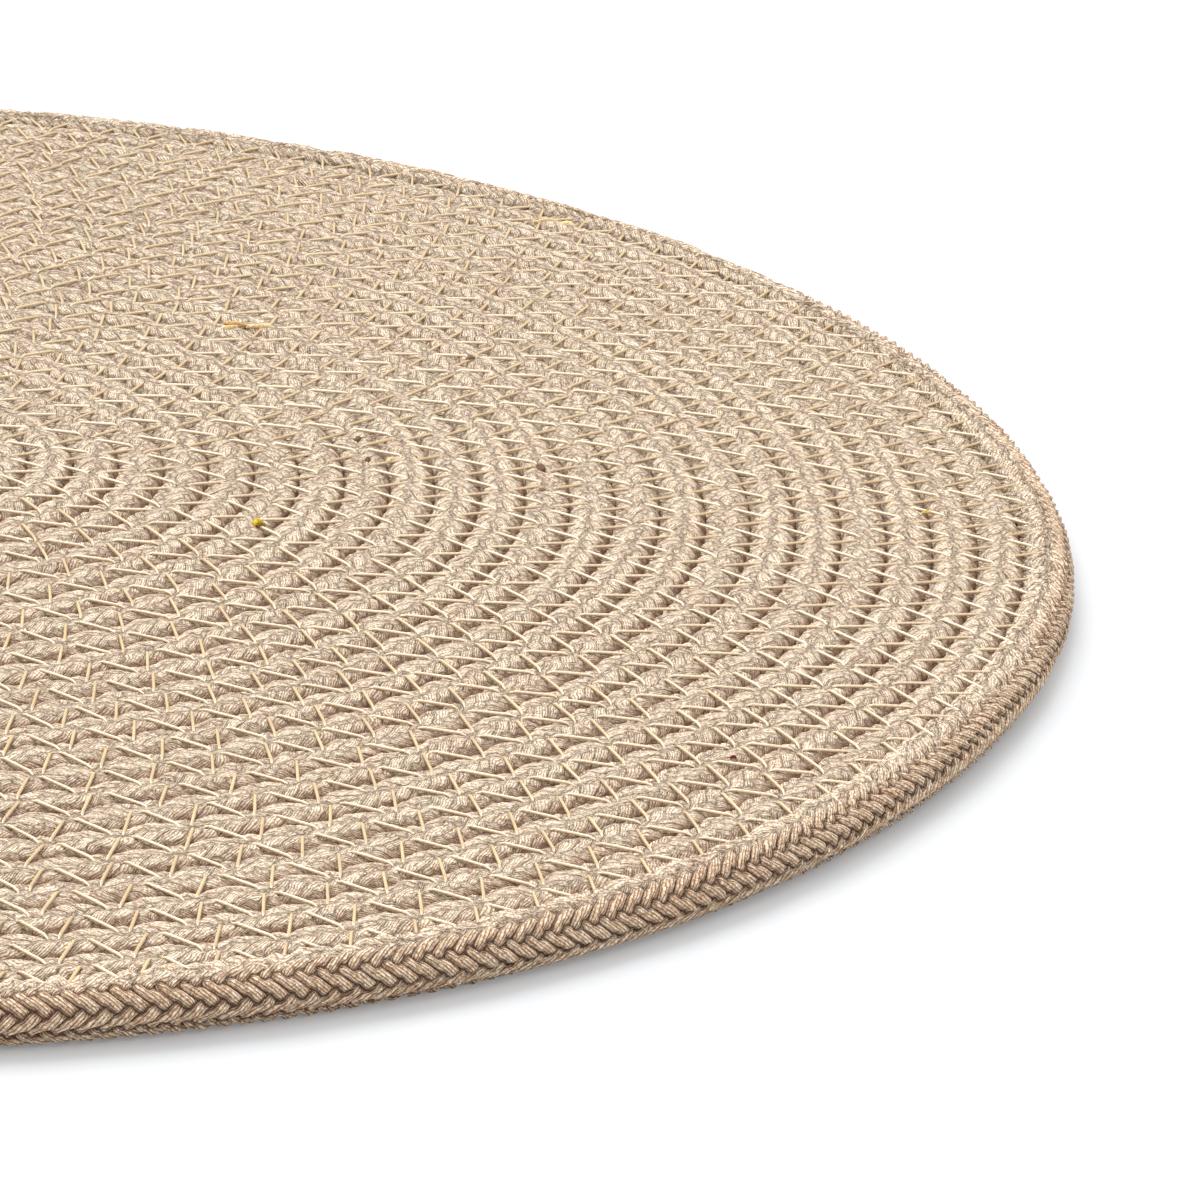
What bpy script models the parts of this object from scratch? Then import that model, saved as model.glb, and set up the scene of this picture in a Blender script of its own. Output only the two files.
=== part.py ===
"""A round placemat: one braided cotton rope, coiled flat from the middle outwards.

Metres, +Z up. The mat lies on z = 0, and the middle of its outline is at x = y = 0. Each
turn of the rope is a rounded ridge on the upper face and a flat land on the underside, with
a groove between neighbouring turns. The outer turn's free side is round.
"""

import math

import bmesh
import bpy
from mathutils import Vector

# The rope and the coil
MAT_RADIUS = 0.190  # from the middle of the coil to the edge on the +X side
TURNS = 28  # how often the rope goes round
STEPS = 36  # sections along one turn
END_ANGLE = math.radians(180)  # where the rope's outer end lies, seen from the coil's middle
END_TAPER = 0.080  # length over which the outer end thins out against the edge
ROPE = MAT_RADIUS / (TURNS - 0.5)  # width of the rope, which is also the coil's pitch

# Heights above the surface that the mat lies on
SEWN_CREST = 0.0065  # top of a sewn turn, which the stitches press down a little
FREE_CREST = ROPE  # top of the outer turn, where the rope keeps its round form
TOP_GROOVE = 0.0047
EDGE_MIDDLE = 0.5 * ROPE
BOTTOM_GROOVE = 0.0013

# Across the rope
LAND = 0.0030  # width of the flat land under each turn
SHOULDER = 0.38 * ROPE  # from the outer turn's middle to its upper and lower shoulder
SHOULDER_DROP = 0.17 * ROPE  # the shoulder's distance from the top and from the bottom

# How far the hand-guided coil strays from a true spiral and from an even height
EDGE_WAVES = ((3, 0.00035, 0.7), (5, 0.00030, 2.1), (9, 0.00015, 4.0))  # count, size, phase
CREST_WAVES = ((2, 0.00015, 1.0), (7, 0.00010, 3.3))

COTTON_COLOUR = (0.55, 0.42, 0.31, 1.0)
COTTON_ROUGHNESS = 0.95

LAST = TURNS * STEPS
FREE = LAST - STEPS  # the first section whose outer side is the mat's edge
TAPER_STEPS = END_TAPER / (MAT_RADIUS * 2 * math.pi / STEPS)


def wave(angle, waves):
    return sum(size * math.sin(count * angle + phase) for count, size, phase in waves)


def smooth(share):
    share = min(1.0, max(0.0, share))
    return share * share * (3 - 2 * share)


def angle_of(section):
    """The coil winds clockwise on its way out, seen from above."""
    return END_ANGLE - 2 * math.pi * (section - LAST) / STEPS


def fullness(section):
    """1 along the rope, down to 0 at its two ends."""
    return min(smooth(section / STEPS), smooth((LAST - section) / TAPER_STEPS))


def width_of(section):
    if section < STEPS:
        return ROPE * section / STEPS
    return ROPE * smooth((LAST - section) / TAPER_STEPS)


def inner_radius(section):
    return ROPE * max(0.0, section / STEPS - 1)


def place(section, radius, height):
    angle = angle_of(section)
    radius += wave(angle, EDGE_WAVES) * radius / MAT_RADIUS
    return Vector((radius * math.cos(angle), radius * math.sin(angle), height))


def crest_point(section):
    free = smooth((section - FREE) / TAPER_STEPS)
    crest = SEWN_CREST + (FREE_CREST - SEWN_CREST) * free
    crest += wave(angle_of(section), CREST_WAVES) * (1 - free)
    height = TOP_GROOVE + (crest - TOP_GROOVE) * fullness(section)
    return place(section, inner_radius(section) + width_of(section) / 2, height)


def land_point(section, side):
    """side is -1 for the land's inner edge and 1 for its outer edge."""
    width = width_of(section)
    radius = inner_radius(section) + width / 2 + side * LAND / 2 * width / ROPE
    return place(section, radius, BOTTOM_GROOVE * (1 - fullness(section)))


def edge_point(section, across, height, groove_height):
    """A point on the outer turn's free side, `across` from its middle."""
    width = width_of(section)
    radius = inner_radius(section) + width / 2 + across * width / ROPE
    full = fullness(section)
    return place(section, radius, groove_height + (height - groove_height) * full)


def add_row(mesh, sections, point):
    return {section: mesh.verts.new(point(section)) for section in sections}


def add_strip(mesh, first, second, starts, length=1):
    """Faces between two rows of points. Where only one row has a point half-way, the face
    takes it in, and where a row closes on a shared point, a triangle is left."""
    for start in starts:
        stops = start, start + length / 2, start + length
        near = [first[stop] for stop in stops if stop in first]
        far = [second[stop] for stop in stops if stop in second]
        corners = list(dict.fromkeys(near + far[::-1]))
        if len(corners) > 2:
            mesh.faces.new(corners)


def coil_mesh():
    mesh = bmesh.new()
    whole, sewn = range(LAST), range(FREE)
    halves = [FREE + half / 2 for half in range(2 * STEPS)]  # the outer turn has twice as many

    shared = range(FREE + 1)  # grooves between one turn and the next
    top_groove = add_row(mesh, shared, lambda s: place(s, ROPE * s / STEPS, TOP_GROOVE))
    low_groove = add_row(mesh, shared, lambda s: place(s, ROPE * s / STEPS, BOTTOM_GROOVE))
    top_inside = {s: top_groove[max(0, s - STEPS)] for s in range(LAST + 1)}
    low_inside = {s: low_groove[max(0, s - STEPS)] for s in range(LAST + 1)}

    along = [*range(1, FREE), *halves]
    crest = add_row(mesh, along, crest_point)
    land_in = add_row(mesh, along, lambda s: land_point(s, -1))
    land_out = add_row(mesh, along, lambda s: land_point(s, 1))
    for row, groove in ((crest, top_groove), (land_in, low_groove), (land_out, low_groove)):
        row[0] = groove[0]
        row[LAST] = groove[FREE]

    edge, high = halves[1:], ROPE - SHOULDER_DROP
    upper = add_row(mesh, edge, lambda s: edge_point(s, SHOULDER, high, TOP_GROOVE))
    lower = add_row(mesh, edge, lambda s: edge_point(s, SHOULDER, SHOULDER_DROP, BOTTOM_GROOVE))
    side = add_row(mesh, edge, lambda s: edge_point(s, ROPE / 2, EDGE_MIDDLE, EDGE_MIDDLE))
    upper[FREE] = upper[LAST] = top_groove[FREE]
    lower[FREE] = lower[LAST] = low_groove[FREE]
    side[FREE] = side[LAST] = mesh.verts.new(place(FREE, ROPE * (TURNS - 1), EDGE_MIDDLE))

    add_strip(mesh, top_inside, crest, whole)
    add_strip(mesh, crest, top_groove, sewn)
    add_strip(mesh, low_inside, land_in, whole)
    add_strip(mesh, land_in, land_out, sewn)
    add_strip(mesh, land_out, low_groove, sewn)
    around = land_in, land_out, lower, side, upper, crest
    for first, second in zip(around, around[1:]):
        add_strip(mesh, first, second, halves, 0.5)
    bmesh.ops.recalc_face_normals(mesh, faces=mesh.faces)
    return mesh


def centre_outline(mesh):
    """Moves the coil so that the middle of its outline is over the origin."""
    for axis in range(2):
        values = [vertex.co[axis] for vertex in mesh.verts]
        middle = (min(values) + max(values)) / 2
        for vertex in mesh.verts:
            vertex.co[axis] -= middle


def cotton_material():
    material = bpy.data.materials.new("beige cotton rope")
    material.use_nodes = True
    shader = material.node_tree.nodes["Principled BSDF"]
    shader.inputs["Base Color"].default_value = COTTON_COLOUR
    shader.inputs["Roughness"].default_value = COTTON_ROUGHNESS
    shader.inputs["Metallic"].default_value = 0.0
    material.diffuse_color = COTTON_COLOUR
    return material


def main():
    for old in list(bpy.data.objects):
        bpy.data.objects.remove(old)
    mesh = coil_mesh()
    centre_outline(mesh)
    data = bpy.data.meshes.new("coiled_rope_mat")
    mesh.to_mesh(data)
    mesh.free()
    data.shade_smooth()
    data.set_sharp_from_angle(angle=math.radians(35))
    data.materials.append(cotton_material())
    mat = bpy.data.objects.new("coiled_rope_mat", data)
    bpy.context.scene.collection.objects.link(mat)


main()
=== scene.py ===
"""A round placemat: one braided cotton rope, coiled flat and sewn with a zigzag thread.

Metres, +Z up. A place on the rope is its turn, which counts from 0 at the coil's middle, and
an angle round the rope: 0 on top, +90 degrees towards the mat's edge, 180 underneath. The
groove outside turn t is the one inside turn t + 1, and it is named by t.
"""

import math

import bpy
import numpy as np
from mathutils import Matrix, Vector


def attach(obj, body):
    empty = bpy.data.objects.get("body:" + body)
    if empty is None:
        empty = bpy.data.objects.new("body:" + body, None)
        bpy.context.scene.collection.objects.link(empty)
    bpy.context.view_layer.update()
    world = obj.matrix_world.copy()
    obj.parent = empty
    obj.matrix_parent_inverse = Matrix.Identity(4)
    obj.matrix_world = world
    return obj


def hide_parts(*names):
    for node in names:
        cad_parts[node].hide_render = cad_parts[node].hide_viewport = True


NODE = "coiled_rope_mat"
MM = 0.001

# The coil. The waves are its unevenness: their count round the mat, size and phase
MAT_RADIUS = 0.190
TURNS = 28
END_ANGLE = math.radians(180)
ROPE = MAT_RADIUS / (TURNS - 0.5)  # the coil's pitch and the rope's width
TAPER_LENGTH = 0.080
TAPER = TAPER_LENGTH / (MAT_RADIUS * math.tau)  # turns over which the rope's end thins out
EDGE_WAVES = ((3, 0.35 * MM, 0.7), (5, 0.30 * MM, 2.1), (9, 0.15 * MM, 4.0))
CREST_WAVES = ((2, 0.15 * MM, 1.0), (7, 0.10 * MM, 3.3))
OUTLINE_POINTS = 721

# The rope's section. Sewn turns lie between others, and the free side is the mat's edge
OVERLAP = 1.025  # neighbouring turns press into each other by this
SEWN_MIDDLE, SEWN_CREST = 3.2 * MM, 6.3 * MM
FREE_MIDDLE, FREE_CREST = 3.42 * MM, 6.75 * MM
FOOT = 0.22 * MM  # the rope lies on its thread
LOWEST, LEAST_HALF = 0.02 * MM, 0.5 * MM  # a point's height, and half the rope's width
ENDS_KEEP = 0.35  # the share of its height that the rope keeps at its two ends
SQUARE = (3.8, 2.8)  # how square sewn turns are pressed inside and outside; 2 is round

# The braid
BRAID = 2.87 * MM  # from one strand to the next along the rope
COLUMNS = 8  # columns of strands round the rope
FIRST_COLUMN = 1.05  # where they begin, in columns
PLIES = 4.8  # across a strand
SLANT = 1.05  # how many strands further along a strand is after crossing a column
STRETCH = 0.35  # the sewn turns' extra slant, as a share
LACING = 0.16  # how far strands' ends reach into the next column, in columns
DRIFT, DRIFT_START, DRIFT_LENGTH = 0.42, 16.062, 0.027  # how far the columns turn, in columns
SLOW_DRIFT, SLOW_LENGTH, SLOW_PHASE = 0.25, 0.31, 1.0
ARCHED, FLATTENED = 0.6, 2.5  # the powers that shape a strand lengthways and across

# The sewing
REACH = 3.40 * MM  # from the groove to the needle holes on either side
END_REACH = 0.42  # at most, as a share of the rope's width where its end thins out
STITCH = (4.45 * MM, 0.15 * MM)  # from hole to hole in the middle, and how much more at the edge
FIRST_GROOVE, FIRST_SEWN = 0.62, 0.5  # where the sewing begins, and where it shapes the rope
LAST_GAP = 1 * MM  # from the last hole to the end of the last groove
REACH_SPREAD, ALONG_SPREAD = 0.3, 0.35  # of the holes, in mm
FEED_KEPT, FEED_SPREAD = 0.97, 0.013  # how the stitches' length drifts
HOLES_SEED, LEGS_SEED = 11, 3
THREAD = 0.24 * MM  # radius
THREAD_TOP, THREAD_END = 6.34 * MM, 5.5 * MM  # its middle's height, and that at the holes
COMES_UP = 0.13  # the share of a stitch's length at which its thread is up from the hole
BOW = 0.15 * MM  # how far the legs of thread bow sideways
THIN_END, THICKENS = 0.6, 3.0  # a leg's radius at its ends, and its gain towards the middle
END_KEEPS, END_GAINS, END_PACE = 0.55, 0.45, 1.2  # the legs' height where the rope thins out

# What the sewing does to the rope: its size in mm or as a share, and its reach
PUFF = (0.40, 1.5 * MM)  # how much the rope rises between the threads
LEG_DENT, HOLE_DENT = (0.12, 0.6 * MM), (0.12, 0.7 * MM)
LEG_PULL, HOLE_PULL = (0.55, 0.9 * MM), (0.7, 1.3 * MM)
LUMPS = ((0.05, 2.3 * MM, 2, 0.0), (0.06, 5.1 * MM, -3, 1.7))  # size, length, slant, phase
FREE_EASE = 0.85  # how much less the braid is worked on the free side
FAR, NO_STITCH = 1.0, 0.02  # metres, further than any stitch matters

# How much shade is painted into the skin's colour at the holes, beside the next turn outwards,
# and beside the one inside
HOLE_SHADE = 0.2
OUTER_SHADE = (0.45, 0.4)  # begins at this share of the side, and grows over this
INNER_SHADE = (0.8, 0.2, 0.6)  # the same, and its size


def smooth(share):
    share = np.clip(share, 0.0, 1.0)
    return share * share * (3 - 2 * share)


def near(distance, reach):
    """1 at no distance, and next to nothing beyond twice the reach."""
    return np.exp(-((distance / reach) ** 2))


def wave(angle, waves):
    return sum(size * np.sin(count * angle + phase) for count, size, phase in waves)


# ---------------------------------------------------------------------------- the coil


def angle_at(turn):
    return END_ANGLE - math.tau * (turn - TURNS)


def width_at(turn):
    return ROPE * np.minimum(turn, 1.0) * smooth((TURNS - turn) / TAPER)


def radius_at(turn):
    """Of the rope's middle line, which leaves no gap to the turn inside it."""
    return ROPE * np.maximum(turn - 1.0, 0.0) + width_at(turn) / 2


def length_at(turn):
    """Along the rope, from the coil's middle."""
    return math.pi * ROPE * np.where(turn < 1, turn**2 / 2, turn**2 - turn + 0.5)


def turn_at(length):
    share = np.maximum(length, 0.0) / (math.pi * ROPE)
    return np.where(share < 0.5, np.sqrt(2 * share), 0.5 + np.sqrt(np.maximum(share - 0.25, 0)))


def groove_length(turn):
    return math.pi * ROPE * np.maximum(turn, 0.0) ** 2


def place(turn, across, height):
    """Points from the rope's middle line at `turn`, `across` towards the mat's edge."""
    angle = angle_at(turn)
    radius = radius_at(turn) + across
    radius = radius + wave(angle, EDGE_WAVES) * radius / MAT_RADIUS
    height = np.broadcast_to(height, radius.shape)
    return np.stack([radius * np.cos(angle), radius * np.sin(angle), height], axis=-1)


def place_by_groove(turn, across, height):
    """Points from the groove outside `turn`, `across` towards the mat's edge."""
    return place(turn, across + ROPE * turn - radius_at(turn), height)


def outline_middle():
    """The middle of the mat's outline on the floor, which goes to the origin."""
    turn = TURNS - 1 + np.linspace(0, math.tau, OUTLINE_POINTS)[None] / math.tau
    line = place(turn, width_at(turn) / 2, 0.0).reshape(-1, 3)
    middle = (line.min(0) + line.max(0)) / 2
    middle[2] = 0.0
    return middle


SHIFT = outline_middle()


# -------------------------------------------------------------------------- the sewing


def needle_holes():
    """(along, across) from the groove, one hole after another on alternate sides."""
    chance = np.random.default_rng(HOLES_SEED)
    along, side, found, feed = float(groove_length(FIRST_GROOVE)), 1, [], 0.0
    end = float(groove_length(TURNS - 1))
    while along < end - LAST_GAP:
        turn = math.sqrt(along / (math.pi * ROPE))
        reach = REACH + chance.uniform(-REACH_SPREAD, REACH_SPREAD) * MM
        if side > 0:
            reach = min(reach, END_REACH * float(width_at(turn + 1)))
        jitter = chance.uniform(-ALONG_SPREAD, ALONG_SPREAD) * MM
        found.append((along + jitter, side * reach))
        feed = FEED_KEPT * feed + chance.normal(0, FEED_SPREAD)
        along += (STITCH[0] + STITCH[1] * ROPE * turn / MAT_RADIUS) * (1 + feed)
        side = -side
    return np.array(found)


HOLES = needle_holes()


def near_stitches(along, across):
    """What is nearest to points beside a groove: the distance to a leg of thread, the step
    from the leg to the point, the distance to a needle hole, and the step from it."""
    after = np.clip(np.searchsorted(HOLES[:, 0], along), 2, len(HOLES) - 2)
    point = np.stack([along, across], axis=-1)
    leg, leg_step = np.full(along.shape, FAR), np.zeros(point.shape)
    hole, hole_step = np.full(along.shape, FAR), np.zeros(point.shape)
    for shift in (-2, -1, 0):  # the leg beside the point, and one either way
        start, stop = HOLES[after + shift], HOLES[after + shift + 1]
        inset = (stop - start) * (COMES_UP, 0)
        first, line = start + inset, stop - start - 2 * inset
        share = ((point - first) * line).sum(-1) / (line * line).sum(-1)
        step = point - first - np.clip(share, 0, 1)[..., None] * line
        size = np.sqrt((step * step).sum(-1))
        closer = size < leg
        leg = np.where(closer, size, leg)
        leg_step = np.where(closer[..., None], step, leg_step)
        for end in (start, stop):
            step = point - end
            size = np.sqrt((step * step).sum(-1))
            closer = size < hole
            hole = np.where(closer, size, hole)
            hole_step = np.where(closer[..., None], step, hole_step)
    return leg, leg_step, hole, hole_step


# ---------------------------------------------------------------------------- the rope


def braid_column(length, around):
    """The place round the rope counted in columns of strands, which turn slowly."""
    drift = DRIFT * np.sin((length - DRIFT_START) / DRIFT_LENGTH)
    drift = drift + SLOW_DRIFT * np.sin(length / SLOW_LENGTH + SLOW_PHASE)
    return around / (math.tau / COLUMNS) + FIRST_COLUMN + drift


def zigzag(column):
    """0 to 1 and back from one column of strands to the next."""
    part = np.mod(column, 2.0)
    return np.where(part < 1, part, 2 - part)


def strand_height(along, column, slant):
    """From -1 between strands to 1 on a strand's back."""
    laced = column - LACING * np.cos(math.tau * (along + (0.5 - slant) * zigzag(column)))
    number = np.floor(laced)
    odd = np.mod(number, 2.0)
    crossed = column - number
    phase = along + slant * (crossed + odd * (1 - 2 * crossed)) + 0.5 * odd
    across = 2 * np.mod(phase, 1.0) - 1
    inside = np.abs(np.sin(math.pi * (laced - number))) ** ARCHED
    return (1 - np.abs(across) ** FLATTENED) * inside * 2 - 1


def pressed(around, square, steps=400):
    """(across, height), -1 to 1, round a section pressed towards a square, at even steps."""
    beta = np.linspace(0, math.pi / 2, steps)
    across, height = np.sin(beta) ** (2 / square), np.cos(beta) ** (2 / square)
    walked = np.concatenate([[0], np.cumsum(np.hypot(np.diff(across), np.diff(height)))])
    walked *= math.pi / 2 / walked[-1]
    quarter = np.arccos(np.clip(np.abs(np.cos(around)), 0, 1))
    return (np.sign(np.sin(around)) * np.interp(quarter, walked, across),
            np.sign(np.cos(around)) * np.interp(quarter, walked, height))


def rope_section(turn, around, free):
    """(across, height) of the smooth rope, half its width, and how whole it is: from 0 at
    the rope's two ends to 1."""
    sine, cosine = np.sin(around), np.cos(around)
    ends = np.minimum(smooth(turn), smooth((TURNS - turn) / TAPER))
    half = width_at(turn) / 2 * OVERLAP
    middle = SEWN_MIDDLE + (FREE_MIDDLE - SEWN_MIDDLE) * free
    crest = SEWN_CREST + (FREE_CREST - SEWN_CREST) * free
    crest = crest + wave(angle_at(turn), CREST_WAVES) * (1 - free)
    above = (crest - middle) * (ENDS_KEEP + (1 - ENDS_KEEP) * ends)
    below = (middle - FOOT) * (ENDS_KEEP + (1 - ENDS_KEEP) * ends)
    side, level = np.where(sine < 0, pressed(around, SQUARE[0]), pressed(around, SQUARE[1]))
    roundness = free * (sine > 0)
    across = half * (side + (sine - side) * roundness)
    level = level + (cosine - level) * roundness
    return across, middle + np.where(cosine < 0, below, above) * level, half, ends


def rope_skin(length, around, strand_relief):
    """Points of the rope's surface, its braid coordinates, and for each point how much shade is
    painted into its colour, and how much the sewing has worked the braid out of shape."""
    turn = turn_at(length)
    sine, cosine = np.sin(around), np.cos(around)
    free = smooth((turn - TURNS + 1) / TAPER)
    across, height, half, ends = rope_section(turn, around, free)

    nearest_leg, nearest_hole = np.full(length.shape, FAR), np.full(length.shape, FAR)
    pull = np.zeros(length.shape + (2,))
    for groove in (turn - 1, turn):
        offset = radius_at(turn) - ROPE * np.maximum(groove, 0.0)
        leg, leg_step, hole, hole_step = near_stitches(groove_length(groove), across + offset)
        sewn = (groove > FIRST_SEWN) & (groove < TURNS - 1)
        leg, hole = np.where(sewn, leg, NO_STITCH), np.where(sewn, hole, NO_STITCH)
        nearest_leg, nearest_hole = np.minimum(nearest_leg, leg), np.minimum(nearest_hole, hole)
        leg_pull = LEG_PULL[0] * near(leg, LEG_PULL[1])
        hole_pull = HOLE_PULL[0] * near(hole, HOLE_PULL[1])
        pull = pull + leg_pull[..., None] * leg_step + hole_pull[..., None] * hole_step
    rise = PUFF[0] * (1 - near(nearest_leg, PUFF[1]))
    rise = rise - LEG_DENT[0] * near(nearest_leg, LEG_DENT[1])
    rise = rise - HOLE_DENT[0] * near(nearest_hole, HOLE_DENT[1])
    for size, long, slant, phase in LUMPS:
        rise = rise + size * np.sin(length / long + slant * around + phase)
    rise = np.where(cosine < 0, 0.0, rise) * ends

    along = length / BRAID + pull[..., 0] / BRAID
    column = braid_column(length, around + pull[..., 1] / np.maximum(half, LEAST_HALF))
    worked = 1 - FREE_EASE * free * smooth(sine * 2)
    if strand_relief:
        slant = SLANT * (1 + STRETCH * worked)
        rise = rise + strand_relief * strand_height(length / BRAID, column, slant)
    out = rise * MM
    points = place(turn, across + out * sine, np.maximum(height + out * cosine, LOWEST))

    covered = smooth((TURNS - 1 - turn) / TAPER)  # by the next turn outwards
    # Painted shade: darker at the needle holes, beside the next turn outwards, and beside the
    # turn inside
    start, over = OUTER_SHADE
    painted_shade = np.maximum(HOLE_SHADE * near(nearest_hole, HOLE_DENT[1]),
                        smooth((sine - start) / over) * covered)
    start, over, size = INNER_SHADE
    painted_shade = np.maximum(painted_shade, size * smooth((-sine - start) / over))
    return points, np.stack([along, column], axis=-1), {"painted_shade": painted_shade, "worked": worked}


# -------------------------------------------------------------------------- mesh making


def add_piece(name, points, quads, uv, uv_name, material, marks=None, normals=None):
    data = bpy.data.meshes.new(name)
    data.vertices.add(len(points))
    data.vertices.foreach_set("co", np.ascontiguousarray(points, np.float32).ravel())
    data.loops.add(quads.size)
    data.loops.foreach_set("vertex_index", quads.astype(np.int32).ravel())
    data.polygons.add(len(quads))
    data.polygons.foreach_set("loop_start", np.arange(0, quads.size, 4, dtype=np.int32))
    data.polygons.foreach_set("use_smooth", np.ones(len(quads), bool))
    layer = data.uv_layers.new(name=uv_name)
    layer.data.foreach_set("uv", np.ascontiguousarray(uv, np.float32).ravel())
    for mark, values in (marks or {}).items():
        attribute = data.attributes.new(mark, "FLOAT", "POINT")
        attribute.data.foreach_set("value", values.astype(np.float32).ravel())
    data.update(calc_edges=True)
    if normals is not None:
        data.normals_split_custom_set_from_vertices(normals.reshape(-1, 3))
    data.materials.append(material)
    piece = bpy.data.objects.new(name, data)
    bpy.context.scene.collection.objects.link(piece)
    return piece


def grid_quads(rows, columns, closed=False):
    """Corner indices of a grid of points, seen anticlockwise where columns run right and
    rows run up."""
    across = columns if closed else columns - 1
    row, column = np.meshgrid(np.arange(rows - 1), np.arange(across), indexing="ij")
    right = (column + 1) % columns
    near_row, far_row = row * columns, (row + 1) * columns
    corners = [near_row + column, near_row + right, far_row + right, far_row + column]
    return np.stack(corners, -1).reshape(-1, 4)


def add_skin(name, length, around, material, closed=False, strand_relief=0.0):
    points, braid, marks = rope_skin(length, around, strand_relief)
    rows, columns = length.shape
    quads = grid_quads(rows, columns, closed)
    uv = braid.reshape(-1, 2)[quads]
    if closed:  # the last column of faces ends where the first begins, one round further
        last = quads[:, 0] % columns == columns - 1
        uv[last, 1:3, 1] += COLUMNS
    points = (points - SHIFT).reshape(-1, 3)
    return add_piece(name, points, quads, uv, "rope", material, marks)


def add_sewing(name, material, shares, heights, sides, reach=1.0):
    """Legs of thread from hole to hole: `shares` of a leg's length along the groove and
    across it, with the thread's middle at `heights` there."""
    turn = np.sqrt(HOLES[:, 0] / (math.pi * ROPE))
    holes = np.column_stack([turn, HOLES[:, 1] * reach])
    start, stop = holes[:-1, None], holes[1:, None]
    share = np.array(shares)[None]
    middle = start + (stop - start) * share
    kept = smooth((TURNS - 1 - middle[..., 0]) / TAPER * END_PACE) * END_GAINS + END_KEEPS
    level = FREE_MIDDLE + (np.array(heights)[None, :] - FREE_MIDDLE) * kept
    line = place_by_groove(middle[..., 0], middle[..., 1], level) - SHIFT

    ahead = line[:, -1:] - line[:, :1]
    length = np.sqrt((ahead**2).sum(-1, keepdims=True))
    ahead = ahead / length
    across = np.stack([-ahead[..., 1], ahead[..., 0], 0 * ahead[..., 0]], -1)
    across /= np.sqrt((across**2).sum(-1, keepdims=True))
    up = np.cross(ahead, across)
    chance = np.random.default_rng(LEGS_SEED)
    bow = chance.normal(0, BOW, (len(line), 1, 1)) * np.sin(math.pi * share[..., 1:])
    line = line + bow * across

    beta = np.arange(sides) * math.tau / sides
    ring = np.cos(beta)[:, None] * across[:, :, None] + np.sin(beta)[:, None] * up[:, :, None]
    end_share = np.minimum(share[..., 1], 1 - share[..., 1])
    thickness = np.minimum(1.0, THIN_END + THICKENS * end_share)
    points = line[:, :, None] + THREAD * thickness[..., None, None] * ring

    legs, steps = line.shape[:2]
    quads = grid_quads(steps, sides, closed=True)
    all_quads = (quads[None] + (np.arange(legs) * steps * sides)[:, None, None]).reshape(-1, 4)
    row, column = quads // sides, quads % sides
    last = column.max(1, keepdims=True) == sides - 1
    around = (column + sides * (last & (column == 0))) / sides
    along = share[0, row, 1][None] * length[:, 0, :, None] / MM
    offset = chance.uniform(0, 1, legs)[:, None, None]
    uv = np.stack([along + offset, np.broadcast_to(around, along.shape)], -1)
    normals = np.broadcast_to(ring, points.shape)
    return add_piece(name, points.reshape(-1, 3), all_quads, uv, "thread", material,
                     normals=normals)


# ------------------------------------------------------------------------------ shaders


class Shader:
    """A material, with short ways to add nodes to it."""

    def __init__(self, name):
        self.material = bpy.data.materials.new(name)
        self.material.use_nodes = True
        self.tree = self.material.node_tree
        self.surface = self.tree.nodes["Principled BSDF"]

    def add(self, kind, inputs=(), **settings):
        node = self.tree.nodes.new(kind)
        for key, value in settings.items():
            setattr(node, key, value)
        pairs = inputs.items() if isinstance(inputs, dict) else enumerate(inputs)
        for key, value in pairs:
            self.join(node.inputs[key], value)
        return node

    def join(self, socket, value):
        if isinstance(value, bpy.types.NodeSocket):
            self.tree.links.new(value, socket)
        else:
            socket.default_value = value

    def set(self, **values):
        """The surface's own sockets, by their names with _ for a space."""
        for name, value in values.items():
            self.join(self.surface.inputs[name.replace("_", " ")], value)

    def math(self, operation, *values):
        return self.add("ShaderNodeMath", values, operation=operation).outputs[0]

    def ramp(self, value, low, high, start=0.0, stop=1.0):
        inputs = {"Value": value, "From Min": low, "From Max": high}
        inputs |= {"To Min": start, "To Max": stop}
        return self.add("ShaderNodeMapRange", inputs).outputs[0]

    def noise(self, vector, scale, detail=2.0, roughness=0.5):
        inputs = {"Vector": vector, "Scale": scale, "Detail": detail, "Roughness": roughness}
        return self.add("ShaderNodeTexNoise", inputs).outputs["Fac"]

    def swing(self, vector, scale):
        """A noise from -0.5 to 0.5."""
        return self.ramp(self.noise(vector, scale), 0.0, 1.0, -0.5, 0.5)

    def fade(self, value, by, share):
        """The value less this share of it where `by` is 1."""
        kept = self.math("SUBTRACT", 1.0, self.math("MULTIPLY", by, share))
        return self.math("MULTIPLY", value, kept)

    def combine(self, *values):
        return self.add("ShaderNodeCombineXYZ", values).outputs[0]

    def mix(self, share, first, second, blend="MIX"):
        node = self.add("ShaderNodeMix", data_type="RGBA", blend_type=blend)
        for socket, value in zip((node.inputs[0], node.inputs[6], node.inputs[7]),
                                 (share, first, second)):
            self.join(socket, value)
        return node.outputs[2]

    def bump(self, height, distance, strength=1.0):
        inputs = {"Height": height, "Distance": distance, "Strength": strength}
        return self.add("ShaderNodeBump", inputs).outputs[0]


def rgb(red, green, blue):
    """A colour from its sRGB values, 0 to 255."""
    linear = [((v / 255 + 0.055) / 1.055) ** 2.4 for v in (red, green, blue)]
    return (*linear, 1.0)


WHITE = (1.0, 1.0, 1.0, 1.0)

# The cotton's colours: two that it drifts between, for sewn turns and for the free side, and
# what is laid over them. The free side's pair is darker and warmer, painted shade on the mat's
# outward edge
SEWN_COTTON = (rgb(220, 205, 181), rgb(231, 219, 195))
SHADED_EDGE_COTTON = (rgb(239, 199, 162), rgb(247, 217, 181))
GREY_STREAK = rgb(178, 146, 114)
PINK_PLY, CREAM_PLY = rgb(208, 176, 158), rgb(248, 236, 212)
PALE_SPECK, DARK_SPECK = rgb(252, 243, 224), rgb(150, 114, 86)
# The last three are painted shade: in the furrows between plies, in the gaps between strands,
# and at the holes and where turns lie against each other
FURROW_SHADE, GAP_SHADE, SHADE = rgb(112, 70, 42), rgb(74, 40, 22), rgb(116, 72, 44)

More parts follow.
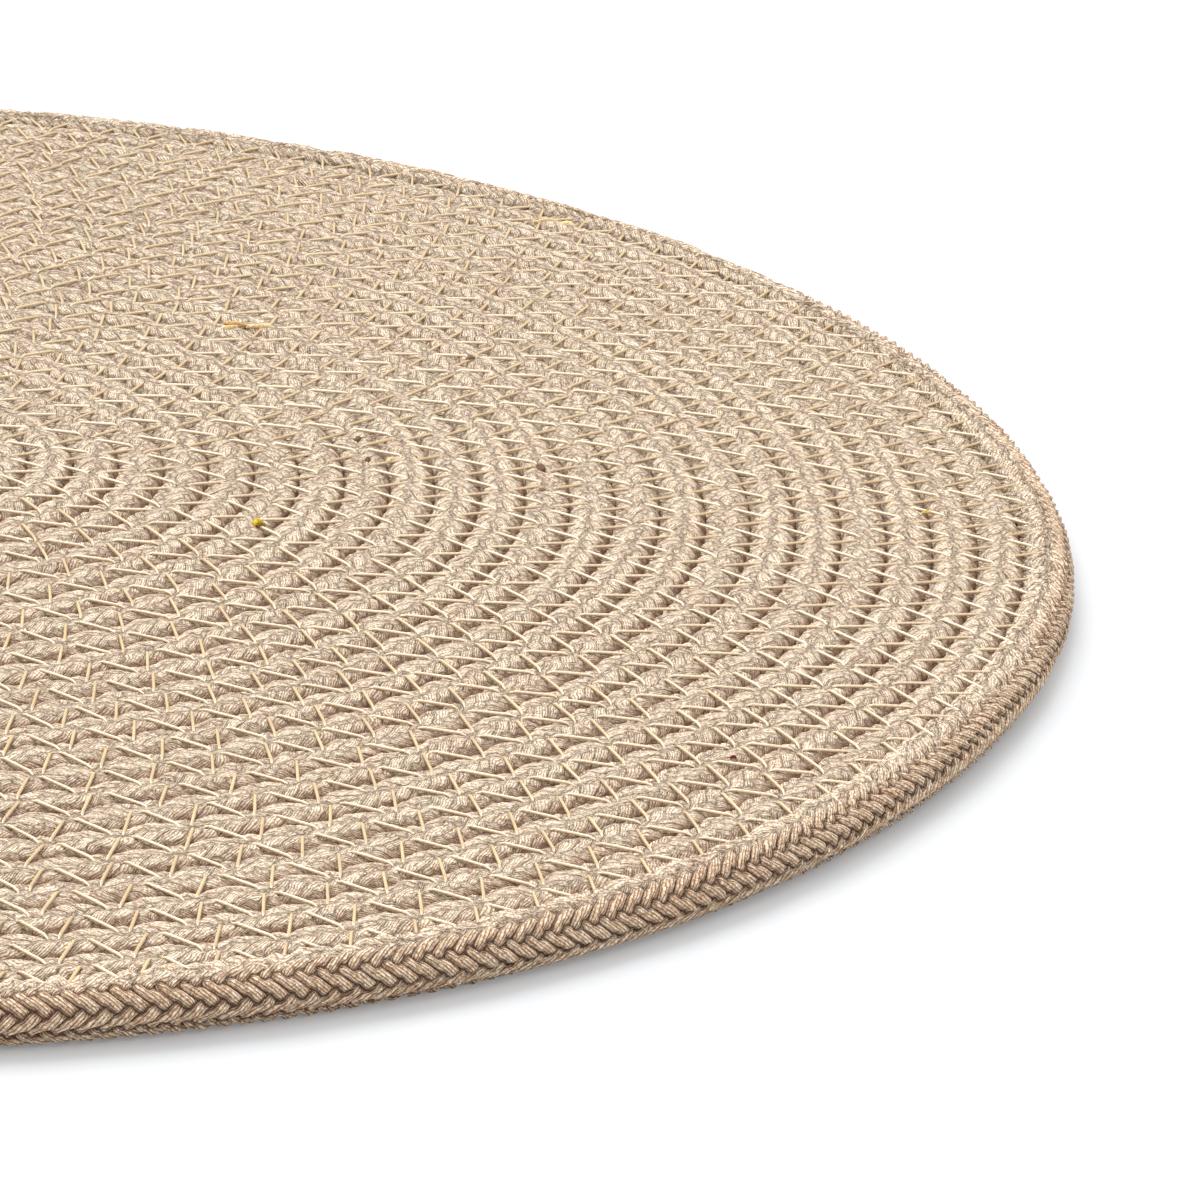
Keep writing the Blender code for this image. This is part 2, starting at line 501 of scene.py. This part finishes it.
# How its patterns bring the colours in: between these two values, from this share to that
PATCHES, WORKED = (0.35, 0.65), (0.15, 1.0)
STREAKS = (0.35, 0.60, 0.85, 0.0)
PINK_PLIES, CREAM_PLIES = (0.55, 0.75, 0.0, 0.45), (0.45, 0.25, 0.0, 0.5)
PALE_SPECKS, DARK_SPECKS = (0.5, 0.60, 0.0, 0.70), (0.5, 0.40, 0.0, 0.70)
FURROWS, GAPS = (0.0, 0.60, 0.95, 0.0), (0.0, 0.70, 1.0, 0.0)
SHADE_SHARE = 0.75
RELIEF_FADES, FURROWS_FADE, GAPS_FADE = 0.35, 0.25, 0.45  # where the sewing works the braid

# Its patterns: scales of noises in the whole mat, and what they do
WOBBLE_SCALES, WOBBLE = (170.0, 190.0), 0.55  # a worked strand strays by this at most
SECOND_WOBBLE = (0.3, 0.1, 0.0)  # the place that it starts from
CURL_SCALE, PATCH_SCALE = 420.0, 95.0
SPECK_NOISE = (2800.0, 3.0, 0.75)  # scale, detail and roughness
STRAND_EDGE, STRAND_END = 2.6, 0.7  # the powers that round a strand across and lengthways
STRAND_RELIEF, PLY_RELIEF, STREAK_RELIEF, SPECK_RELIEF = 0.38, 0.20, 0.16, 0.14  # in mm
PLIES_NARROW, PLIES_WIDEN = 0.68, 0.35  # their width at a strand's end, and the gain inside
PLIES_DIFFER, STRANDS_DIFFER = 0.8, 40.0  # from strand to strand
STREAK_ACROSS, STREAK_ALONG, STREAK_NOISE = 1.6, 3.0, (1.6, 3.0, 0.65)
TINT_STRANDS, TINT_NOISE = 1.3, (1.1, 1.0)

# The thread: its colours and its twist, with painted shade in the groove between its plies
THREAD_COLOURS, TWIST_GROOVE_SHADE = (rgb(203, 165, 98), rgb(223, 191, 130)), rgb(158, 120, 72)
THREAD_PATCH_SCALE = 160.0
TWIST, TWIST_ROUND = 0.62, 0.6  # turnings in a mm, and the power that rounds them
TWIST_SHADE = (0.7, 0.0, 0.0, 0.75)
TWIST_RELIEF = (0.04 * MM, 0.6)


def cotton_material():
    """Braided strands of loosely twisted plies, beige with a grey and pink fleck."""
    s = Shader("braided_cotton")
    uv = s.add("ShaderNodeUVMap", uv_map="rope").outputs[0]
    place_in = s.add("ShaderNodeTexCoord").outputs["Object"]
    worked = s.add("ShaderNodeAttribute", attribute_name="worked").outputs["Fac"]

    # Where a point is in the braid, as in strand_height
    bend = s.math("MULTIPLY", worked, WOBBLE)
    moved = s.add("ShaderNodeVectorMath", [place_in, SECOND_WOBBLE]).outputs[0]
    stray = s.math("MULTIPLY", s.swing(place_in, WOBBLE_SCALES[0]), bend)
    sidestep = s.math("MULTIPLY", s.swing(moved, WOBBLE_SCALES[1]), bend)
    split = s.add("ShaderNodeSeparateXYZ", [uv])
    along = s.math("ADD", split.outputs[0], stray)
    column = s.math("ADD", split.outputs[1], sidestep)
    slant = s.math("MULTIPLY", s.math("ADD", s.math("MULTIPLY", worked, STRETCH), 1.0), SLANT)
    lace = s.math("MULTIPLY", s.math("SUBTRACT", 0.5, slant), s.math("PINGPONG", column, 1.0))
    lace = s.math("COSINE", s.math("MULTIPLY", s.math("ADD", along, lace), math.tau))
    laced = s.math("SUBTRACT", column, s.math("MULTIPLY", lace, LACING))
    number = s.math("FLOOR", laced)
    arch = s.math("SINE", s.math("MULTIPLY", s.math("FRACT", laced), math.pi))
    odd = s.math("FLOORED_MODULO", number, 2.0)
    crossed = s.math("SUBTRACT", column, number)
    flip = s.math("SUBTRACT", 1.0, s.math("MULTIPLY", crossed, 2.0))
    slope = s.math("ADD", crossed, s.math("MULTIPLY", odd, flip))
    phase = s.math("ADD", along, s.math("MULTIPLY", slope, slant))
    phase = s.math("ADD", phase, s.math("MULTIPLY", odd, 0.5))
    strand = s.math("FLOOR", phase)
    across = s.math("SUBTRACT", s.math("FRACT", phase), 0.5)  # -0.5 to 0.5 over a strand
    flat = s.math("POWER", s.math("ABSOLUTE", s.math("MULTIPLY", across, 2.0)), STRAND_EDGE)
    back = s.math("MULTIPLY", s.math("SUBTRACT", 1.0, flat), s.math("POWER", arch, STRAND_END))

    # The plies of a strand lie closer at its ends, and each strand's are its own
    chance = s.add("ShaderNodeTexWhiteNoise", [s.combine(strand, number, 0.0)],
                   noise_dimensions="2D").outputs["Value"]
    spread = s.math("ADD", s.math("MULTIPLY", arch, PLIES_WIDEN), PLIES_NARROW)
    ply = s.math("DIVIDE", s.math("MULTIPLY", across, PLIES), spread)
    ply = s.math("ADD", ply, s.math("MULTIPLY", chance, PLIES_DIFFER))
    ply = s.math("ADD", ply, s.math("MULTIPLY", worked, s.swing(place_in, CURL_SCALE)))
    ply_wave = s.math("ABSOLUTE", s.math("SINE", s.math("MULTIPLY", ply, math.pi)))
    lengthways = s.math("ADD", s.math("MULTIPLY", crossed, STREAK_ALONG),
                        s.math("MULTIPLY", chance, STRANDS_DIFFER))
    streak = s.noise(s.combine(s.math("MULTIPLY", ply, STREAK_ACROSS), lengthways, strand),
                     *STREAK_NOISE)
    tint = s.noise(s.combine(ply, lengthways, s.math("MULTIPLY", strand, TINT_STRANDS)),
                   *TINT_NOISE)
    speck = s.noise(place_in, *SPECK_NOISE)

    fine = s.math("MULTIPLY", ply_wave, PLY_RELIEF)
    fine = s.math("ADD", fine, s.math("MULTIPLY", streak, STREAK_RELIEF))
    fine = s.math("ADD", fine, s.math("MULTIPLY", speck, SPECK_RELIEF))
    fine = s.fade(fine, worked, RELIEF_FADES)
    height = s.math("ADD", s.math("MULTIPLY", back, STRAND_RELIEF), fine)

    patch = s.ramp(s.noise(place_in, PATCH_SCALE), *PATCHES)
    # Painted shade: the outward half of the free side takes the darker, warmer pair
    colour = s.mix(s.ramp(worked, *WORKED), s.mix(patch, *SHADED_EDGE_COTTON),
                   s.mix(patch, *SEWN_COTTON))
    colour = s.mix(s.ramp(streak, *STREAKS), colour, GREY_STREAK)
    colour = s.mix(s.ramp(tint, *PINK_PLIES), colour, PINK_PLY)
    colour = s.mix(s.ramp(tint, *CREAM_PLIES), colour, CREAM_PLY)
    colour = s.mix(s.ramp(speck, *PALE_SPECKS), colour, PALE_SPECK)
    colour = s.mix(s.ramp(speck, *DARK_SPECKS), colour, DARK_SPECK)
    # Painted shade in the furrows between plies and the gaps between strands, less where the
    # sewing has worked the braid
    colour = s.mix(s.fade(s.ramp(ply_wave, *FURROWS), worked, FURROWS_FADE), colour, FURROW_SHADE)
    colour = s.mix(s.fade(s.ramp(back, *GAPS), worked, GAPS_FADE), colour, GAP_SHADE)
    # Painted shade at the needle holes and on the sides that lie against the next turns
    painted_shade = s.add("ShaderNodeAttribute", attribute_name="painted_shade").outputs["Fac"]
    colour = s.mix(s.math("MULTIPLY", painted_shade, SHADE_SHARE), colour, SHADE)

    s.set(Base_Color=colour, Normal=s.bump(height, 1.0 * MM), Roughness=0.85,
          Specular_IOR_Level=0.12)
    return s.material


def thread_material():
    """Two shiny plies twisted together."""
    s = Shader("sewing_thread")
    uv = s.add("ShaderNodeUVMap", uv_map="thread").outputs[0]
    split = s.add("ShaderNodeSeparateXYZ", [uv])
    turnings = s.math("ADD", s.math("MULTIPLY", split.outputs[0], TWIST), split.outputs[1])
    twist = s.math("ABSOLUTE", s.math("SINE", s.math("MULTIPLY", turnings, math.tau)))
    twist = s.math("POWER", twist, TWIST_ROUND)
    patch = s.noise(s.add("ShaderNodeTexCoord").outputs["Object"], THREAD_PATCH_SCALE)
    colour = s.mix(s.ramp(patch, *PATCHES), *THREAD_COLOURS)
    # Painted shade in the groove between the two plies
    colour = s.mix(s.ramp(twist, *TWIST_SHADE), colour, TWIST_GROOVE_SHADE)
    tangent = s.add("ShaderNodeTangent", direction_type="UV_MAP", uv_map="thread")
    s.set(Base_Color=colour, Normal=s.bump(twist, *TWIST_RELIEF), Roughness=0.42, IOR=2.5,
          Specular_IOR_Level=1.0, Anisotropic=0.95, Anisotropic_Rotation=0.25,
          Tangent=tangent.outputs[0])
    return s.material


# -------------------------------------------------------------------- flecks in the cotton

YELLOW_HUSK, DARK_HUSK, STRAW = (226, 198, 52), (150, 120, 40), (218, 198, 102)
BROWN_SEED, PALE_SEED, RED_LINT = (122, 94, 74), (144, 114, 94), (142, 44, 58)
PALE_FIBRE, TAN_FIBRE = (242, 218, 168), (226, 190, 124)

# x, y, length, width and thickness in mm, the heading in degrees, and the colour
FLECKS = (
    (64.1, -29.2, 1.9, 1.5, 1.1, 20, YELLOW_HUSK),
    (64.6, -30.4, 1.4, 1.0, 0.8, -30, DARK_HUSK),
    (168.1, -19.8, 1.7, 0.9, 0.6, -10, STRAW),
    (41.7, -181.0, 1.3, 1.0, 0.7, 0, STRAW),
    (82.6, 7.7, 2.2, 1.3, 0.9, 30, BROWN_SEED),
    (83.3, -1.5, 2.0, 1.1, 0.9, 40, BROWN_SEED),
    (110.2, -3.3, 2.6, 1.8, 0.9, 50, BROWN_SEED),
    (109.0, -13.5, 1.8, 1.0, 0.7, 20, PALE_SEED),
    (105.0, 48.3, 1.8, 1.4, 0.8, 10, PALE_SEED),
    (116.5, 47.7, 1.8, 0.9, 0.8, -50, PALE_SEED),
    (86.8, -1.2, 1.7, 1.1, 0.7, 20, PALE_FIBRE),
    (122.2, -114.9, 1.0, 0.5, 0.5, 0, RED_LINT),
    (67.4, 62.6, 5.0, 0.9, 0.9, -24, TAN_FIBRE),
    (71.4, 61.6, 5.0, 1.1, 1.0, -8, PALE_FIBRE),
    (66.2, 60.2, 3.4, 0.9, 0.8, 24, TAN_FIBRE),
    (130.6, 122.4, 3.6, 2.6, 1.4, -20, PALE_FIBRE),
    (127.4, 124.6, 5.0, 1.0, 0.9, 8, PALE_FIBRE),
)
FLECK_HEIGHT = 6.66 * MM  # of their middles
FLECK_RINGS, FLECK_SIDES, FLECK_TIP = 7, 8, 0.05  # the tip's opening is in radians
FLECK_SAG, FLECK_CURL, FLECK_BENDS = 0.35, 0.25, 5  # down at the tips, and sideways
FLECK_GRAIN, GRAIN_NOISE, GRAINS = rgb(150, 116, 70), (2600.0, 3.0, 0.7), (0.35, 0.6, 0.7, 0.0)
GRAIN_DEPTH = 0.3 * MM


def add_flecks(material):
    """Bits of husk and lumps of fibre caught in the cotton."""
    beta = np.arange(FLECK_SIDES) * math.tau / FLECK_SIDES
    gamma = np.linspace(FLECK_TIP, math.pi - FLECK_TIP, FLECK_RINGS)[:, None]
    ball = np.stack([-np.cos(gamma) + 0 * beta, np.sin(gamma) * np.cos(beta),
                     np.sin(gamma) * np.sin(beta)], -1).reshape(-1, 3)
    quads = grid_quads(FLECK_RINGS, FLECK_SIDES, closed=True)
    points, faces, colours = [], [], []
    for number, (x, y, long, wide, thick, heading, colour) in enumerate(FLECKS):
        lump = ball * (long / 2, wide / 2, thick / 2)
        # It bends over the rope and curls sideways
        lump[:, 2] -= FLECK_SAG * thick * (2 * lump[:, 0] / long) ** 2
        lump[:, 1] += FLECK_CURL * wide * np.sin(FLECK_BENDS * lump[:, 0] / long)
        turn = math.radians(heading)
        along = np.array((math.cos(turn), math.sin(turn), 0))
        across = np.array((-math.sin(turn), math.cos(turn), 0))
        lump = lump[:, :1] * along + lump[:, 1:2] * across + lump[:, 2:] * np.array((0, 0, 1))
        points.append((lump + (x, y, 0)) * MM + (0, 0, FLECK_HEIGHT) - SHIFT)
        faces.append(quads + number * len(ball))
        colours.append(np.tile(rgb(*colour), (len(ball), 1)))
    points, faces = np.concatenate(points), np.concatenate(faces)
    piece = add_piece("flecks", points, faces, points[faces][..., :2] / MM, "place", material)
    tint = piece.data.color_attributes.new("tint", "FLOAT_COLOR", "POINT")
    tint.data.foreach_set("color", np.concatenate(colours).astype(np.float32).ravel())
    return piece


def fleck_material():
    s = Shader("husk_and_fibre")
    tint = s.add("ShaderNodeAttribute", attribute_name="tint").outputs["Color"]
    place_in = s.add("ShaderNodeTexCoord").outputs["Object"]
    grain = s.noise(place_in, *GRAIN_NOISE)
    colour = s.mix(s.ramp(grain, *GRAINS), tint, FLECK_GRAIN, "MULTIPLY")
    s.set(Base_Color=colour, Normal=s.bump(grain, GRAIN_DEPTH), Roughness=0.8,
          Specular_IOR_Level=0.2)
    return s.material


# --------------------------------------------------------------------------- the picture

YAW, PITCH, ROLL = 0.166098653, 0.375215785, 0.0772478326
EYE = Vector((0, -0.7255, 0.2730))  # from the coil's middle
SENSOR, LENS = 36.0, 150.08  # mm

# azimuth and elevation in degrees, strength, size in degrees, and whether it shows in gloss
SUNS = {
    "key": (109, 57, 2.0, 36, True),
    "wide": (105, 50, 1.35, 85, False),
    "fill": (-85, 60, 1.0, 60, True),
}
SKY = 0.83
FLOOR_SIZE, FLOOR_COLOUR, FLOOR_GLOW = 6.0, (0.462, 0.470, 0.480, 1.0), 0.17


def add_camera():
    """Low over the mat's near edge, with a long lens."""
    ahead = Vector((math.sin(YAW) * math.cos(PITCH), math.cos(YAW) * math.cos(PITCH),
                    -math.sin(PITCH)))
    right = ahead.cross(Vector((0, 0, 1))).normalized()
    up = right.cross(ahead)
    x_axis = math.cos(ROLL) * right + math.sin(ROLL) * up
    y_axis = math.cos(ROLL) * up - math.sin(ROLL) * right
    data = bpy.data.cameras.new("camera")
    data.sensor_width, data.lens = SENSOR, LENS
    camera = bpy.data.objects.new("camera", data)
    bpy.context.scene.collection.objects.link(camera)
    turned = Matrix((x_axis, y_axis, -ahead)).transposed().to_4x4()
    camera.matrix_world = Matrix.Translation(Vector(-SHIFT) + EYE) @ turned
    bpy.context.scene.camera = camera


def add_sun(name, azimuth, elevation, strength, size, glossy):
    data = bpy.data.lights.new(name, "SUN")
    data.energy, data.angle = strength, math.radians(size)
    sun = bpy.data.objects.new(name, data)
    sun.visible_glossy = glossy
    bpy.context.scene.collection.objects.link(sun)
    turn, rise = math.radians(azimuth), math.radians(elevation)
    source = Vector((math.cos(turn) * math.cos(rise), math.sin(turn) * math.cos(rise),
                     math.sin(rise)))
    sun.rotation_mode = "QUATERNION"
    sun.rotation_quaternion = source.to_track_quat("Z", "Y")


def add_sky():
    world = bpy.data.worlds.new("soft_light")
    world.use_nodes = True
    background = world.node_tree.nodes["Background"]
    background.inputs["Color"].default_value = WHITE
    background.inputs["Strength"].default_value = SKY
    bpy.context.scene.world = world


def add_floor():
    data = bpy.data.meshes.new("floor")
    corners = ((-1, -1), (1, -1), (1, 1), (-1, 1))
    data.from_pydata([(FLOOR_SIZE * x, FLOOR_SIZE * y, 0) for x, y in corners], [],
                     [(0, 1, 2, 3)])
    floor = bpy.data.objects.new("floor", data)
    bpy.context.scene.collection.objects.link(floor)
    s = Shader("white_floor")
    s.set(Base_Color=FLOOR_COLOUR, Emission_Color=WHITE, Emission_Strength=FLOOR_GLOW,
          Roughness=1.0, Specular_IOR_Level=0.0)
    data.materials.append(s.material)


# ------------------------------------------------------------------------ the mat's pieces

SKIN_START = 0.10  # the turn where the rope's skin begins, too near the middle to show
EDGE_START = TURNS - 1 - 1.5 * TAPER  # from here on the rope is the mat's edge
LAP = 0.001  # turns by which the skins lap there
EDGE_END = TURNS - 0.12 * TAPER

UPPER_CUTS = np.array([SKIN_START, 15.6, 22.0, EDGE_START + LAP])
UPPER_SIDE, UPPER_CELLS, UPPER_STEP = 80, 12, 0.80 * MM  # degrees either way from the top
UPPER_RELIEF = 0.12
EDGE_SIDES, EDGE_STEPS, EDGE_RELIEF = 32, 6, 0.50  # steps from one strand to the next
EDGE_SLACK = 0.02  # metres over which the edge's grid takes on the strands' slant
EDGE_ROUNDS = 3  # of fitting that grid to the strands
UNDER_SIDES, UNDER_CELLS, UNDER_STEP = (100, 260), 5, 2.6 * MM
UPPER_THREAD_SIDES, UNDER_THREAD_SIDES = 5, 3

THREAD_SHARES = (0.0, 0.05, 0.16, 0.84, 0.95, 1.0)
THREAD_RISES = (0.0, 0.70, 1.0, 1.0, 0.70, 0.0)
UNDER_SHARES = ((0, 0), (0.15, 0.15), (0.85, 0.85), (1, 1))
UNDER_HEIGHTS = (0.8 * MM, 0.23 * MM, 0.23 * MM, 0.8 * MM)
UNDER_REACH = 0.9


def rope_grid(first, last, rows, angles):
    """Lengths along the rope and angles round it."""
    return np.meshgrid(np.linspace(first, last, rows), angles, indexing="ij")


def add_upper_turns(material):
    angles = np.radians(np.linspace(-UPPER_SIDE, UPPER_SIDE, UPPER_CELLS + 1))
    pieces = []
    for number, (first, last) in enumerate(zip(UPPER_CUTS, UPPER_CUTS[1:]), 1):
        first, last = length_at(first), length_at(last)
        rows = int(round((last - first) / UPPER_STEP)) + 1
        length, around = rope_grid(first, last, rows, angles)
        pieces.append(add_skin(f"upper_turns_{number}", length, around, material,
                               strand_relief=UPPER_RELIEF))
    return pieces


def add_edge_turn(material):
    """Its grid follows the strands, so that they are cut out cleanly."""
    first, last = length_at(EDGE_START), length_at(EDGE_END)
    rows = int((last - first) / (BRAID / EDGE_STEPS)) + 1
    angles = np.arange(EDGE_SIDES) * math.tau / EDGE_SIDES - math.pi
    row_length, around = rope_grid(first, last, rows, angles)
    slack = smooth((row_length - first) / EDGE_SLACK) * smooth((last - row_length) / EDGE_SLACK)
    length = row_length
    for _ in range(EDGE_ROUNDS):
        length = row_length - slack * BRAID * SLANT * zigzag(braid_column(length, around))
    return add_skin("edge_turn", np.maximum(length, first), around, material, closed=True,
                    strand_relief=EDGE_RELIEF)


def add_underside(material):
    angles = np.radians(np.linspace(*UNDER_SIDES, UNDER_CELLS + 1))
    first, last = length_at(SKIN_START), length_at(EDGE_START + LAP)
    rows = int(round((last - first) / UNDER_STEP)) + 1
    length, around = rope_grid(first, last, rows, angles)
    return add_skin("underside", length, around, material)


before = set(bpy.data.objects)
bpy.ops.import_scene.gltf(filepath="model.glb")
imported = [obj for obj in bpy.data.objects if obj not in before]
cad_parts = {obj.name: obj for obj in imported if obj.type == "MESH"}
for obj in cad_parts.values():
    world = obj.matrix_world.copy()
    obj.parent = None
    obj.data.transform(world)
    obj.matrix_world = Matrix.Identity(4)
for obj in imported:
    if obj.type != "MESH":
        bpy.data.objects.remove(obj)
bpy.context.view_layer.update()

add_camera()
bpy.context.scene.view_settings.view_transform = "Standard"
for name, sun in SUNS.items():
    add_sun(name, *sun)
add_sky()
add_floor()

cotton = cotton_material()
thread = thread_material()

pieces = add_upper_turns(cotton)
pieces.append(add_edge_turn(cotton))
underside = add_underside(cotton)

thread_places = [(COMES_UP + share * (1 - 2 * COMES_UP), share) for share in THREAD_SHARES]
thread_heights = [THREAD_END + (THREAD_TOP - THREAD_END) * rise for rise in THREAD_RISES]
pieces.append(add_sewing("sewing_upper", thread, thread_places, thread_heights,
                         UPPER_THREAD_SIDES))
pieces.append(add_sewing("sewing_lower", thread, UNDER_SHARES, UNDER_HEIGHTS,
                         UNDER_THREAD_SIDES, UNDER_REACH))
pieces.append(add_flecks(fleck_material()))

for piece in [underside, *pieces]:
    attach(piece, "root")
    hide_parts(NODE)
